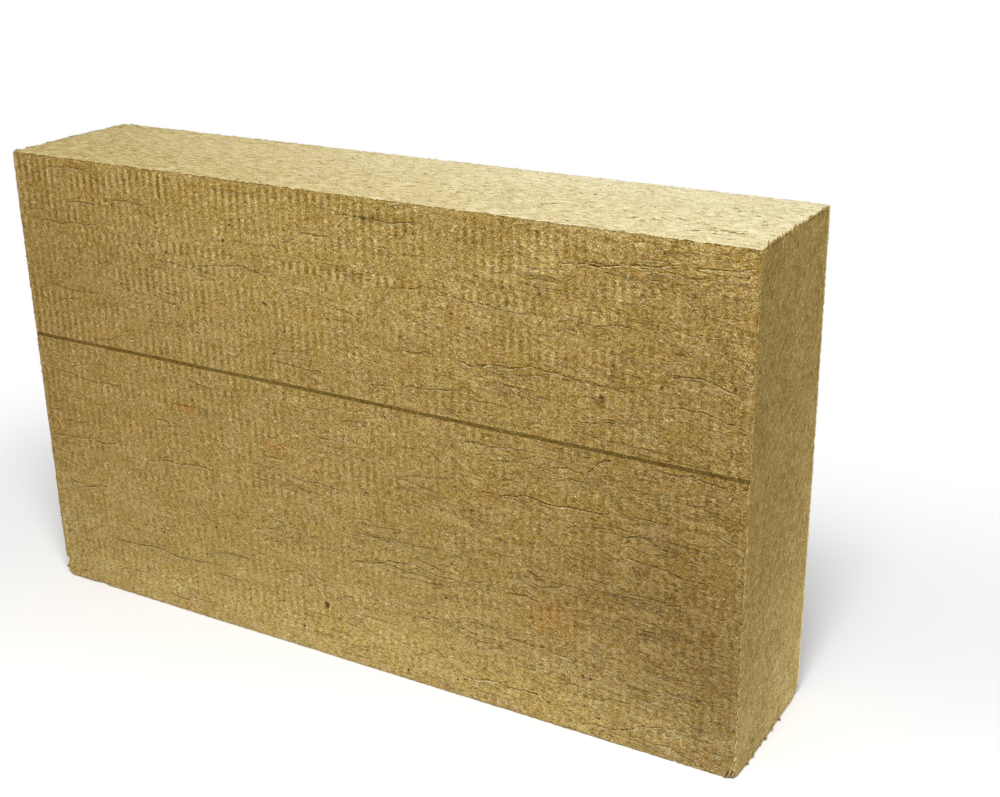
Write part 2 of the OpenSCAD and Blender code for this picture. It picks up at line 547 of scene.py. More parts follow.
def nearest_crease(x, z, creases):
    """Signed distance to the nearest crease at each place, and its depth, from
    the nearest point of their map."""
    gaps, depths = creases
    column = np.clip(np.rint((x - LEFT) / CREASE_GRID).astype(int), 0, gaps.shape[1] - 1)
    row = np.clip(np.rint(z / CREASE_GRID).astype(int), 0, gaps.shape[0] - 1)
    return gaps[row, column], depths[row, column]


# ------------------------------------------------------------ the board's mesh


def board_lines(length, cells, extra=()):
    """Places of a face's grid lines from 0 to the length: the arris lines, even
    ones between them, and pairs of extra ones that take the nearest even ones'
    place."""
    inner = np.linspace(ARRIS, length - ARRIS, cells - 3)
    for place in extra:
        inner[np.argmin(np.abs(inner - place))] = place
    lines = np.concatenate([[0, 0.5 * ARRIS], inner, [length - 0.5 * ARRIS, length]])
    return np.sort(lines)


def rounded(points):
    """The points of a plain box, moved onto the same box with worn arrises, and
    the outward direction at each."""
    inner_low, inner_high = LOW + ARRIS, HIGH - ARRIS
    core = np.clip(points, inner_low, inner_high)
    outward = points - core
    outward /= np.linalg.norm(outward, axis=1)[:, None]
    return core + ARRIS * outward, outward


def grid_faces(columns, rows, start, turn):
    """Quads of a grid whose points run along each row, from the index start."""
    index = start + np.arange(columns * rows).reshape(rows, columns)
    quads = np.stack(
        [index[:-1, :-1], index[:-1, 1:], index[1:, 1:], index[1:, :-1]], -1
    ).reshape(-1, 4)
    return quads[:, ::-1] if turn else quads


def rim_of(columns, rows):
    """Indices round a grid's border: along the bottom, up, back along the top
    and down."""
    index = np.arange(columns * rows).reshape(rows, columns)
    return np.concatenate([index[0, :-1], index[:-1, -1], index[-1, :0:-1], index[:0:-1, 0]])


def upright_grid(lines_x, lines_z, depth):
    """Points of an upright grid at one depth of the board, row by row."""
    grid_x, grid_z = np.meshgrid(lines_x, lines_z)
    return np.stack([grid_x, np.full_like(grid_x, depth), grid_z], -1).reshape(-1, 3)


def board_shell():
    """Points, outward directions and faces of the worn box. The marked face has
    twice as many lines each way as the rest, and a row of triangles joins the
    two. Faces come with the number of their finish."""
    cells_along, cells_through, cells_up = CELLS
    fine_x = board_lines(LENGTH, cells_along) + LOW[0]
    half = LINE_WIDTH / 2
    line_places = [LINE_HEIGHT + side * (half + more) for side in (-1, 1) for more in (0, 0.5 * MM)]
    fine_z = board_lines(HEIGHT, cells_up, line_places) + LOW[2]
    depths = (board_lines(THICK, cells_through) + LOW[1])[1:-1]
    wide_x, wide_z = fine_x[::2], fine_z[::2]

    marked = upright_grid(fine_x, fine_z, LOW[1])
    back = upright_grid(wide_x, wide_z, HIGH[1])
    rim = rim_of(len(wide_x), len(wide_z))
    ring = back[rim]
    rings = [np.column_stack([ring[:, 0], np.full(len(ring), depth), ring[:, 2]]) for depth in depths]

    here = np.arange(len(ring))
    after = (here + 1) % len(ring)
    loops = [len(marked) + number * len(ring) + here for number in range(len(rings))]
    back_start = len(marked) + len(rings) * len(ring)
    loops.append(back_start + rim)
    marked_rim = rim_of(len(fine_x), len(fine_z))
    first, middle, last = marked_rim[::2], marked_rim[1::2], marked_rim[2 * after]
    new = loops[0]
    faces = [
        grid_faces(len(fine_x), len(fine_z), 0, False),
        grid_faces(len(wide_x), len(wide_z), back_start, True),
        np.stack([first, new, middle, middle], 1),
        np.stack([middle, new, new[after], new[after]], 1),
        np.stack([middle, new[after], last, last], 1),
    ]
    faces += [np.stack([loop, new, new[after], loop[after]], 1) for loop, new in zip(loops, loops[1:])]
    edge_cells, end_cells = len(wide_x) - 1, len(wide_z) - 1
    sawn = np.repeat([EDGE, END, EDGE, END], [edge_cells, end_cells, edge_cells, end_cells])
    pressed = np.full(len(faces[0]) + len(faces[1]), FACE)
    which = np.concatenate([pressed, *[sawn] * (len(faces) - 2)])

    places, outward = rounded(np.concatenate([marked, *rings, back]))
    return places, outward, np.concatenate(faces), which


def wool_relief(points, outward, creases):
    """How far the wool stands out of the worn box at each point, and what the
    finish needs to know there: the gap to the nearest crease, its depth and the
    imprint."""
    face_share = outward[:, 1] ** 2
    marked = (outward[:, 1] < 0) * face_share
    end_share = outward[:, 0] ** 2
    edge_share = outward[:, 2] ** 2
    across = (points[:, 0] - LEFT) / LENGTH

    rib, turned = rib_strength(points)
    rib = rib * (face_share > 0.3)
    pressed = RIB_RELIEF * rib * rib_wave(points, turned)
    pressed += 0.5 * MM * cloud(points, (110 * MM, 60 * MM, 45 * MM), 21)
    wrinkle = 1 - 2 * np.abs(cloud(points, (22 * MM, 30 * MM, 6.5 * MM), 22, 2))
    pressed += (0.10 + 0.45 * across) * MM * wrinkle
    pressed += 0.12 * MM * cloud(points, 7 * MM, 23)

    distance, depth = nearest_crease(points[:, 0], points[:, 2], creases)
    depth = depth * (marked > 0.3)
    pressed -= 0.55 * MM * depth * hill(distance, 2.2 * MM)
    pressed += 0.5 * MM * depth * hill(distance + 3.5 * MM, 3 * MM)
    pressed -= 0.15 * MM * depth * hill(distance - 5 * MM, 4 * MM)
    in_line = 1 - ease(np.abs(points[:, 2] - LINE_HEIGHT), LINE_WIDTH / 2, LINE_WIDTH / 2 + 0.5 * MM)
    pressed = np.where(marked > 0, pressed * (1 - 0.7 * in_line) - LINE_DEPTH * in_line, pressed)

    sawn = 0.35 * MM * cloud(points, (26 * MM, 9 * MM, 9 * MM), 31, 2)
    sawn += 0.4 * MM * cloud(points, (120 * MM, 70 * MM, 70 * MM), 32)

    relief = face_share * pressed + (end_share + edge_share) * sawn
    arris = 1 - np.max(np.abs(outward), axis=1)
    ragged = cloud(points, 6 * MM, 41, 2)
    relief += ease(arris, 0.02, 0.25) * MM * (0.6 * ragged - 0.1)
    crumple = hill(np.linalg.norm(points - (HIGH[0], LOW[1], LOW[2]), axis=1), 30 * MM)
    relief += 1.6 * MM * crumple * cloud(points, (7 * MM, 9 * MM, 12 * MM), 42, 2)
    return {"relief": relief, "gap": distance, "depth": depth, "rib": rib, "turned": turned}


def crushed_corners(points):
    """Moves the wool round the knocks inwards."""
    moved = points.copy()
    middle = (LOW + HIGH) / 2
    lumps = 1 + 0.5 * cloud(points, 5 * MM, 51)
    for spot, reach, depth in KNOCKS:
        away = np.linalg.norm(points - spot, axis=1)
        inward = np.sign(middle - spot) * (np.abs(spot - middle) > 0.49 * (HIGH - LOW))
        inward = inward / np.linalg.norm(inward)
        moved += (hill(away, reach) * depth * lumps)[:, None] * inward
    return moved


def stain_and_light_tint(points):
    """What each colour channel is times at each point of the marked face."""
    tint = np.ones((len(points), 3))
    wobble = 1 + 0.45 * cloud(points * (1, 0, 1), (9 * MM, 1, 5 * MM), 61, 2)
    for x, z, half_length, half_height, times in STAINS_AND_PAINTED_LIGHT:
        off_x = (points[:, 0] - LEFT - x * MM) / (half_length * MM)
        off_z = (points[:, 2] - z * MM) / (half_height * MM)
        share = np.exp(-(off_x**2 + off_z**2) * wobble)
        tint *= 1 + share[:, None] * (np.array(times) - 1)
    return tint


def new_mesh(name, points, faces, materials):
    """A mesh object of the points and faces, smooth, with its materials."""
    mesh = bpy.data.meshes.new(name)
    mesh.from_pydata(points.tolist(), [], faces)
    for material in materials:
        mesh.materials.append(material)
    mesh.polygons.foreach_set("use_smooth", np.ones(len(mesh.polygons), bool))
    mesh.update()
    piece = bpy.data.objects.new(name, mesh)
    bpy.context.scene.collection.objects.link(piece)
    return piece


def keep_felt(mesh, places, outward, felt, strand_tone, times=1):
    """Stores what the finishes read at each place, for that many points of the
    mesh each."""
    marked = outward[:, 1] < -0.3
    tint = np.where(marked[:, None], stain_and_light_tint(places), 1.0)
    stored = {
        "crease_gap": np.clip(felt["gap"] / MM, -12, 12),
        "crease_depth": felt["depth"],
        "rib": felt["rib"],
        "rib_turn": felt["turned"],
        **dict(zip(TINTS, tint.T)),
        "strand_tone": strand_tone,
    }
    for name, values in stored.items():
        layer = mesh.attributes.new(name, "FLOAT", "POINT")
        layer.data.foreach_set("value", np.repeat(values, times).astype(np.float32))


def part_of_board(piece):
    """The piece goes with the board."""
    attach(piece, "root")


def build_board(creases, materials):
    places, outward, quads, which = board_shell()
    felt = wool_relief(places, outward, creases)
    points = crushed_corners(places + felt["relief"][:, None] * outward)
    points[:, 2] = np.maximum(points[:, 2], LOW[2])
    faces = [face[:3].tolist() if face[3] == face[2] else face.tolist() for face in quads]
    board = new_mesh("wool_board_body", points, faces, materials)
    board.data.polygons.foreach_set("material_index", which.astype(np.int32))
    under = np.where(np.abs(outward[:, 1]) > 0.3, UNDER_TONE, 0.0)
    keep_felt(board.data, places, outward, felt, under)
    part_of_board(board)
    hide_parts(BOARD)


def keep_bake_map(mesh, count, *groups):
    """Lays out the map that the finish is baked on, for a mesh of many like parts:
    each part has its own cell of a grid, and its faces' corners lie there as
    given, a group of faces at a time."""
    cells = math.ceil(math.sqrt(count))
    cell = np.stack([np.arange(count) % cells, np.arange(count) // cells], 1)[:, None, :]
    spots = [(cell + 0.05 + 0.9 * np.reshape(group, (1, -1, 2))) / cells for group in groups if group]
    layer = mesh.uv_layers.new(name="OFBake")
    flat = np.concatenate([spot.reshape(-1, 2) for spot in spots])
    layer.data.foreach_set("uv", flat.ravel().astype(np.float32))


# ------------------------------------------------------------ strands of wool


def strand_layout(stations):
    """Where the corners of a strand's faces lie in its cell, for its tips and for
    the rest: along it from left to right, with its three sides one above another."""
    along = np.linspace(0, 1, stations)
    bands = ((0.0, 0.3), (0.35, 0.65), (0.7, 1.0))
    tips = [[(along[0], (low + high) / 2), (along[1], high), (along[1], low)] for low, high in bands]
    tips += [[(along[-1], (low + high) / 2), (along[-2], low), (along[-2], high)] for low, high in bands]
    rest = [
        [(before, low), (before, high), (here, high), (here, low)]
        for before, here in zip(along[1:-2], along[2:-1])
        for low, high in bands
    ]
    return tips, rest


def strand_piece(name, strands, creases, materials):
    """One piece of many strands, each a flat fibre bundle that tapers to the ends
    of its points. Each has its points, its width, its tone, its number of the
    materials, how sharp its back is, and its middle's place on the worn box with
    the outward direction there."""
    spine, width, tone, which, crest, place, up = strands
    count, stations = spine.shape[:2]
    run = np.gradient(spine, axis=1)
    across = np.cross(run, up[:, None, :])
    across /= np.linalg.norm(across, axis=2)[..., None]
    width = np.broadcast_to(width.reshape(count, -1), (count, stations))
    rise = up[:, None, :] * (width * crest[:, None])[..., None]
    across = across * width[..., None] / 2
    corners = 3 * (stations - 2) + 2
    points = np.empty((count, corners, 3))
    points[:, 0], points[:, -1] = spine[:, 0], spine[:, -1]
    sides = []
    for station in range(1, stations - 1):
        ring = 3 * station - 2
        points[:, ring] = spine[:, station] - across[:, station]
        points[:, ring + 1] = spine[:, station] + rise[:, station]
        points[:, ring + 2] = spine[:, station] + across[:, station]
        if station > 1:
            for k in range(3):
                after = (k + 1) % 3
                sides.append([ring - 3 + k, ring - 3 + after, ring + after, ring + k])
    last = corners - 1
    tips = [[0, 1 + (k + 1) % 3, 1 + k] for k in range(3)]
    tips += [[last, last - 3 + k, last - 3 + (k + 1) % 3] for k in range(3)]
    starts = corners * np.arange(count)[:, None, None]
    faces = (starts + np.array(tips)).reshape(-1, 3).tolist()
    numbers = np.repeat(which, len(tips))
    if sides:
        faces += (starts + np.array(sides)).reshape(-1, 4).tolist()
        numbers = np.concatenate([numbers, np.repeat(which, len(sides))])
    piece = new_mesh(name, points.reshape(-1, 3), faces, materials)
    piece.data.polygons.foreach_set("material_index", numbers.astype(np.int32))
    keep_bake_map(piece.data, count, *strand_layout(stations))
    keep_felt(piece.data, place, up, wool_relief(place, up, creases), tone, times=corners)
    part_of_board(piece)


def on_the_wool(flat, stand, creases):
    """The points, moved from the plain box onto the wool and so far above it. With
    each one's place and outward direction on the worn box, and the felt there."""
    places, outward = rounded(flat.reshape(-1, 3))
    felt = wool_relief(places, outward, creases)
    points = crushed_corners(places + (felt["relief"] + np.ravel(stand))[:, None] * outward)
    felt = {name: values.reshape(flat.shape[:-1]) for name, values in felt.items()}
    return *(part.reshape(flat.shape) for part in (points, places, outward)), felt


def side_of_board(name):
    """A side's lower left corner, and its two directions with their lengths."""
    along, through, up = np.diag(HIGH - LOW)
    sides = {
        "marked": (LOW, along, up),
        "back": (LOW + through, along, up),
        "upper": (LOW + up, along, through),
        "right": (LOW + along, through, up),
        "left": (LOW, through, up),
    }
    return sides[name]


def bent_lines(rng, centre, turn, reach, bend, stations):
    """Points for each line through its centre, in a side's own plane."""
    run = np.stack([np.cos(turn), np.sin(turn)], 1)
    across = np.stack([-run[:, 1], run[:, 0]], 1)
    sag, curl = rng.normal(0, bend, (2, len(centre))) * reach
    spots = []
    for share in np.linspace(-0.5, 0.5, stations):
        off = 4 * share**2 * sag + 0.6 * math.sin(2 * math.pi * share) * curl
        spots.append(centre + run * (share * reach)[:, None] + across * off[:, None])
    return np.stack(spots, 1)


def on_side(side, spots):
    """Spots of a side's own plane, as points on the plain box."""
    corner, along, up = side_of_board(side)
    return corner + spots[..., :1] * along / along.sum() + spots[..., 1:] * up / up.sum()


def lying_strands(rng, side, count, length, lean, spread, crowd, bend, stations):
    """Points on the plain box for each strand lying on a side at random, about the
    lean in degrees."""
    _, along, up = side_of_board(side)
    size = np.array([along.sum(), up.sum()])
    centre = np.stack([rng.random(count) ** crowd, rng.random(count)], 1) * size
    turn = np.radians(rng.normal(lean, spread, count))
    reach = length * rng.uniform(0.5, 1.5, count)
    spots = bent_lines(rng, centre, turn, reach, bend, stations)
    return on_side(side, np.clip(spots, 0.2 * MM, size - 0.2 * MM))


def crack_strands(rng, side, count, bend):
    """Three points on the plain box for each crack of the upper edge's torn spots."""
    tears = np.array(UPPER_TEARS, float)
    x, y, _, spread = np.repeat(tears, tears[:, 2].astype(int), axis=0).T
    centre = np.stack([x, y], 1) + rng.normal(0, 1, (count, 2)) * spread[:, None] * (1, 0.6)
    centre = np.clip(centre, 8, np.array([LENGTH, THICK]) / MM - 8)
    lean = np.radians(rng.normal(5, 25, count))
    return on_side(side, bent_lines(rng, centre * MM, lean, rng.uniform(5, 12, count) * MM, bend, 3))


def arris_of(axis, first_sign, second_sign):
    """One edge of the plain box: where it starts, its direction and length, and the
    outward directions of the two sides that meet there."""
    unit = np.eye(3)
    first, second = (k for k in range(3) if k != axis)
    start = LOW.copy()
    start[first] = (LOW, HIGH)[first_sign > 0][first]
    start[second] = (LOW, HIGH)[second_sign > 0][second]
    return start, unit[axis], (HIGH - LOW)[axis], unit[first] * first_sign, unit[second] * second_sign


def rim_strands(rng, edge, count, length, reach_in):
    """Four points on the plain box for each strand lying along an edge, no more
    than so far in from it."""
    start, along, total, first_out, second_out = arris_of(*edge)
    centre = np.stack([rng.uniform(0, total, count), rng.uniform(-reach_in, reach_in, count)], 1)
    turn = rng.normal(0, 0.12, count)
    spots = bent_lines(rng, centre, turn, length * rng.uniform(0.5, 1.5, count), 0.05, 4)
    spots[..., 0] = np.clip(spots[..., 0], 0, total)
    inward = np.minimum(spots[..., 1:], 0) * first_out - np.maximum(spots[..., 1:], 0) * second_out
    return start + spots[..., :1] * along + inward


def standing_tufts(rng, edge, count, height, foot, swapped):
    """Four points for each tuft that stands out of an edge: the foot lies within
    so much of it on its first side, and the tip stands out along its second. A
    swapped one stands out of the first side, in clumps."""
    start, along, total, first_out, second_out = arris_of(*edge)
    if swapped:
        first_out, second_out = second_out, first_out
    clump = SKIRT_CLUMPS if swapped else rng.uniform(0.01, 0.93, max(count // 4, 1)) * total
    place = np.clip(rng.choice(clump, count) + rng.normal(0, 1.1 * MM, count), 0, total)
    clumped = 0.5 + 0.5 * np.sin(place / (9 * MM)) * np.sin(place / (23 * MM) + 1)
    tall = height * rng.uniform(0.4, 1.2, count) * (0.5 + clumped) * (1.35 - 0.85 * place / total)
    down = rng.uniform(0, foot, count)[:, None]
    back = first_out * (down + 1 * MM) if swapped else second_out * down
    base = start + place[:, None] * along - back
    lean = rng.normal(0, 0.35, count)[:, None] * along
    lean = lean + rng.normal(0.05, 0.15, count)[:, None] * first_out
    rise = (second_out + lean) * tall[:, None]
    curl = rng.normal(0, 0.12, count)[:, None] * tall[:, None] * along
    sink = 0 if swapped else -first_out * 0.6 * MM
    tip = base + rise + curl * 2.5
    return np.stack([base + sink - rise * 0.3, base, base + rise * 0.5 + curl, tip], 1)


def clear_of_marks(flat, spine, outward, felt):
    """Which strands keep off the creases, the marking line and the ground."""
    off_creases = (felt["depth"].max(1) < 0.2) | (np.abs(felt["gap"]).min(1) > OFF_CREASES)
    off_line = np.abs(flat[:, :, 2] - LINE_HEIGHT).min(1) > LINE_WIDTH / 2 + OFF_LINE
    off_line |= outward[:, :, 1].min(1) > -0.5
    return off_creases & off_line & (spine[:, :, 2].min(1) > LOW[2] + OFF_GROUND)


def felted(rng, name, layers, creases, materials):
    """A piece of strands, with a layer for each row of the table."""
    kept = []
    for kind, where, finish, count, width, tone, vary, *settings in layers:
        standing = kind in ("tufts", "skirts")
        if kind in LAID:
            flat = lying_strands(rng, where, count, *settings, *LAID[kind])
        elif kind == "cracks":
            flat = crack_strands(rng, where, count, *settings)
        elif standing:
            flat = standing_tufts(rng, where, count, *settings, kind == "skirts")
        else:
            flat = rim_strands(rng, where, count, *settings)
        rise = CRACK_RISE if kind == "cracks" else 0
        lift = 0 if standing else rise + rng.exponential(STRAND_LIFT, count)
        lift = np.broadcast_to(np.reshape(lift, (-1, 1)), flat.shape[:2]).copy()
        lift[:, (0, -1)] = rise - END_SINK
        spine, places, outward, felt = on_the_wool(flat, lift, creases)
        if standing:
            spine = crushed_corners(flat.reshape(-1, 3)).reshape(flat.shape)
        keep = clear_of_marks(flat, spine, outward, felt)
        if kind in LAID:
            keep &= np.ptp(outward, axis=1).max(1) < 0.9
        width = width * rng.uniform(0.6, 1.4, count)
        tone = tone + vary * (rng.gamma(5.0, 0.45, count) - 2.25)
        which, crest = np.full(count, finish), np.full(count, BACKS[kind])
        strands = (spine, width, tone, which, crest, places[:, 1], outward[:, 1])
        kept.append([part[keep] for part in strands])
    strand_piece(name, list(map(np.concatenate, zip(*kept))), creases, materials)


def fold_runs(rng, lines):
    """Runs of points along the creases, with gaps between them, and their depths."""
    runs, depths = [], []
    for depth, line in lines:
        steps = np.linalg.norm(np.diff(line, axis=0), axis=1)
        along = np.concatenate([[0], np.cumsum(steps)])
        start = 0.0
        while start < along[-1] - 5 * MM:
            stop = min(start + rng.uniform(*FOLD_REACH) * (0.5 + depth), along[-1])
            spots = np.linspace(start, stop, FOLD_POINTS)
            runs.append(np.stack([np.interp(spots, along, line[:, k]) for k in (0, 1)], 1))
            depths.append(depth)
            start = stop + (rng.exponential(4 * MM) if depth < UNBROKEN else -2.5 * MM)
    return np.array(runs), np.array(depths)


def felt_folds(rng, name, lines, creases, materials):
    """The folds along the creases: a thin dark seam of painted shade and, just below it, the raised lip
    of the layer that is folded there, painted pale as a highlight."""
    runs, depth = fold_runs(rng, lines)
    count = len(runs)
    middle = FOLD_POINTS // 2
    kept = []
    for below, wide, tone, lift, sharp, faint in FOLD_STRIPS:
        drop = below * rng.uniform(0.7, 1.4, (count, 1)) * np.ones(FOLD_POINTS)
        drop = drop + rng.normal(0, 0.15 * MM, (count, FOLD_POINTS))
        flat = np.stack([runs[..., 0], np.full_like(drop, LOW[1]), runs[..., 1] - drop], -1)
        stand = np.full((count, FOLD_POINTS), lift)
        stand[:, (0, -1)] = -END_SINK
        spine, places, outward, _ = on_the_wool(flat, stand, creases)
        width = wide * rng.uniform(0.45, 1.3, (count, FOLD_POINTS)) * (0.6 + 0.6 * depth)[:, None]
        off_line = np.abs(flat[..., 2] - LINE_HEIGHT).min(1) > LINE_WIDTH / 2 + 1 * MM
        uneven = rng.uniform(0.2, 1.35, count)
        uneven = np.where(depth < UNBROKEN, uneven, 0.5 + 0.5 * uneven)
        shade = tone * (faint + (1.1 - faint) * depth) * uneven
        which, crest = np.full(count, FACE), np.full(count, sharp)
        strands = (spine, width, shade, which, crest, places[:, middle], outward[:, middle])
        kept.append([part[off_line] for part in strands])
    strand_piece(name, list(map(np.concatenate, zip(*kept))), creases, materials)


def corner_curls(name, creases, materials):
    """The felt folded up round the knocked lower corner of the marked face."""
    foot, top, height, width, tone = np.array(CORNER_CURLS).T
    count = len(foot)
    share = np.linspace(0, 1, 5)
    swell = np.sin(math.pi * share)
    x = HIGH[0] + (foot[:, None] + (top - foot)[:, None] * share + 1.6 * swell) * MM
    z = LOW[2] + (0.8 + height[:, None] * share) * MM
    flat = np.stack([x, np.full_like(x, LOW[1]), z], -1)
    stand = np.tile(1.4 * swell - 0.2, count) * MM
    spine, places, outward, _ = on_the_wool(flat, stand, creases)
    which, crest = np.full(count, FACE), np.full(count, 0.4)
    strands = (spine, width * MM, tone, which, crest, places[:, 2], outward[:, 2])
    strand_piece(name, strands, creases, materials)


# ------------------------------------------------------------ charred bits


def bit_shape():
    """Points and triangles of a ball, which each bit is made from."""
    ball = bmesh.new()
    bmesh.ops.create_icosphere(ball, subdivisions=1, radius=1.0)
    ball.verts.index_update()
    shape = np.array([vertex.co[:] for vertex in ball.verts])
    triangles = np.array([[vertex.index for vertex in face.verts] for face in ball.faces])
    ball.free()
    return shape, triangles


def charred_bits(creases, material):
    """Small dark bits of slag and burnt binder, half sunk in the felt."""
    rng = np.random.default_rng(8)
    shape, triangles = bit_shape()
    x, z, size = (np.array(column, float) * MM for column in zip(*DARK_BITS))
    near = np.stack([LEFT + x, np.full(len(x), LOW[1]), z], 1)
    flats, sizes = [near], [size]
    for side, count in SMALL_BITS.items():
        corner, along, up = side_of_board(side)
        share = rng.uniform(0.02, 0.98, (count, 2))
        flats.append(corner + share[:, :1] * along + share[:, 1:] * up)
        sizes.append(rng.uniform(0.35, 0.8, count) * MM)
    flat, size = np.concatenate(flats), np.concatenate(sizes)
    places, outward = rounded(flat)
    relief = wool_relief(places, outward, creases)["relief"]
    places = places + (relief + BIT_LIFT)[:, None] * outward
    count = len(places)
    lumps = shape * (1 + rng.normal(0, 0.18, (count, len(shape), 1)))
    wide, thick, tall = rng.uniform(0.8, 1.5, count), np.full(count, 0.45), rng.uniform(0.6, 1.1, count)
    stretch = np.stack([wide, thick, tall], 1)
    turn = rng.normal(0, 0.5, count)[:, None]
    lumps = lumps * stretch[:, None, :] * size[:, None, None]
    turned_x = lumps[..., 0] * np.cos(turn) - lumps[..., 2] * np.sin(turn)
    turned_z = lumps[..., 0] * np.sin(turn) + lumps[..., 2] * np.cos(turn)
    side_x = np.where(np.abs(outward[:, :1]) > 0.5, 0.0, 1.0)
    first = np.stack([side_x[:, 0], 1 - side_x[:, 0], np.zeros(count)], 1)
    second = np.cross(outward, first)
    points = (
        places[:, None, :]
        + turned_x[..., None] * first[:, None, :]
        + turned_z[..., None] * second[:, None, :]
        + lumps[..., 1:2] * outward[:, None, :]
    )
    faces = (triangles + len(shape) * np.arange(count)[:, None, None]).reshape(-1, 3)
    piece = new_mesh("charred_bits", points.reshape(-1, 3), faces.tolist(), [material])
    corners = np.array([(0.1, 0.1), (0.9, 0.1), (0.5, 0.9)])
    layout = [((x, y) + corners) / (5, 4) for y in range(4) for x in range(5)]
    keep_bake_map(piece.data, count, layout)
    part_of_board(piece)


# ------------------------------------------------------------ finishes


class Value:
    """A number in a node tree, as one of its sockets. Arithmetic on it adds Math
    nodes."""

    def __init__(self, steps, socket):
        self.steps = steps
        self.socket = socket

    def __add__(self, other):
        return self.steps.maths("ADD", self, other)

    def __sub__(self, other):
        return self.steps.maths("SUBTRACT", self, other)

    def __rsub__(self, other):
        return self.steps.maths("SUBTRACT", other, self)

    def __mul__(self, other):
        return self.steps.maths("MULTIPLY", self, other)

    def __truediv__(self, other):
        return self.steps.maths("DIVIDE", self, other)

    def __rtruediv__(self, other):
        return self.steps.maths("DIVIDE", other, self)

    def __abs__(self):
        return self.steps.maths("ABSOLUTE", self)

    __radd__ = __add__
    __rmul__ = __mul__


class Steps:
    """The steps that a node tree is made of."""

    def __init__(self, tree):
        self.tree = tree

    def node(self, kind, settings=None, inputs=None, out=0):
        """Adds a node, sets it, fills its sockets and returns one output."""
        made = self.tree.nodes.new(kind)
        for name, setting in (settings or {}).items():
            if name == "stops":
                self.set_stops(made.color_ramp.elements, setting)
            else:
                setattr(made, name, setting)
        for name, value in (inputs or {}).items():
            self.fill(made.inputs[name], value)
        return Value(self, made.outputs[out])

    def set_stops(self, elements, stops):
        while len(elements) < len(stops):
            elements.new(1.0)
        for element, (place, colour) in zip(elements, stops):
            element.position = place
            element.color = (*colour, 1.0)

    def fill(self, socket, value):
        if isinstance(value, Value):
            self.tree.links.new(value.socket, socket)
        elif isinstance(value, (int, float)):
            socket.default_value = value
        else:
            socket.default_value = (*value, 1.0)[: len(socket.default_value)]

    def maths(self, operation, *numbers):
        return self.node("ShaderNodeMath", {"operation": operation}, dict(enumerate(numbers)))

    def vectors(self, operation, *places, out=0):
        return self.node("ShaderNodeVectorMath", {"operation": operation}, dict(enumerate(places)), out)

    def seen_directly(self):
        """1 where the camera, or a mirror or glass, looks at it, and 0 for the light
        that falls on the board."""
        rays = ("Is Camera Ray", "Is Glossy Ray", "Is Transmission Ray")
        camera, mirror, glass = (self.node("ShaderNodeLightPath", out=ray) for ray in rays)
        return self.maths("MAXIMUM", self.maths("MAXIMUM", camera, mirror), glass)


class Finish(Steps):
    """A material, made of steps in its own node tree."""

    def __init__(self, name):
        self.material = bpy.data.materials.new(name)
        self.material.use_nodes = True
        super().__init__(self.material.node_tree)
        self.shader = self.tree.nodes["Principled BSDF"]
        self.place = self.node("ShaderNodeTexCoord", out="Object")

    def parts(self):
        """The place on the board along it, through it and up it."""
        first = self.node("ShaderNodeSeparateXYZ", inputs={0: self.place})
        return [Value(self, socket) for socket in first.socket.node.outputs]

    def stretched(self, lengths, about_x, about_y):
        """The place in lumps of those lengths along the board, through it and up
        it, turned by the degrees."""
        return self.node(
            "ShaderNodeMapping",
            {"vector_type": "TEXTURE"},
            {
                "Vector": self.place,
                "Rotation": (math.radians(about_x), math.radians(about_y), 0),
                "Scale": [length * MM for length in lengths],
            },
        )

    def noise(self, size, detail=2.0, rough=0.5, bend=0.0, seed=0.0, about_x=0, about_y=0):
        """Noise about 0, mostly within 0.5 of it. Its lumps have the size given, in
        millimetres, or the three lengths, and are then turned by the degrees."""
        even = isinstance(size, (int, float))
        value = self.node(
            "ShaderNodeTexNoise",
            {"noise_dimensions": "4D"},
            {
                "Vector": self.place if even else self.stretched(size, about_x, about_y),
                "W": seed,
                "Scale": 1 / (size * MM) if even else 1,
                "Detail": detail,
                "Roughness": rough,
                "Distortion": bend,
            },
        )
        return value - 0.5

    def ramp(self, value, colours, start=0.0, end=1.0):
        """The colours in turn, evenly from the start to the end."""
        stops = list(zip(np.linspace(start, end, len(colours)), colours))
        return self.node("ShaderNodeValToRGB", {"stops": stops}, {"Fac": value})

    def step(self, value, start, end):
        """0 where the value is at start and 1 at end, smooth between."""
        return self.node(
            "ShaderNodeMapRange",
            {"interpolation_type": "SMOOTHSTEP"},
            {"Value": value, "From Min": start, "From Max": end},
        )

    def threads(self, noise, width):
        """1 on the lines where the noise passes 0, fading to 0 at the width."""
        return self.step(abs(noise), width, 0.0)

    def blend(self, share, first, second, how="MIX"):
        """The first colour, turned into the second by the share."""
        return self.node(
            "ShaderNodeMix",
            {"data_type": "RGBA", "blend_type": how},
            {"Factor": share, 6: first, 7: second},
            out=2,
        )

    def tinted(self, colour, *tints):
        """The colour times each tint in turn, as far as its share."""
        for share, tint in tints:
            colour = self.blend(share, colour, tint, "MULTIPLY")
        return colour

    def stored(self, name):
        return self.node("ShaderNodeAttribute", {"attribute_name": name}, out="Fac")

    def dull(self, colour, roughness):
        sockets = {"Base Color": colour, "Roughness": roughness, "Specular IOR Level": 0.0}
        for name, value in sockets.items():
            self.fill(self.shader.inputs[name], value)

    def finish(self, colour, height, relief, roughness=0.95):
        """The material, dull, with the height as relief of so many millimetres."""
        self.dull(colour, roughness)
        bump = self.node("ShaderNodeBump", {}, {"Distance": relief * MM, "Height": height})
        self.fill(self.shader.inputs["Normal"], bump)
        return self.material


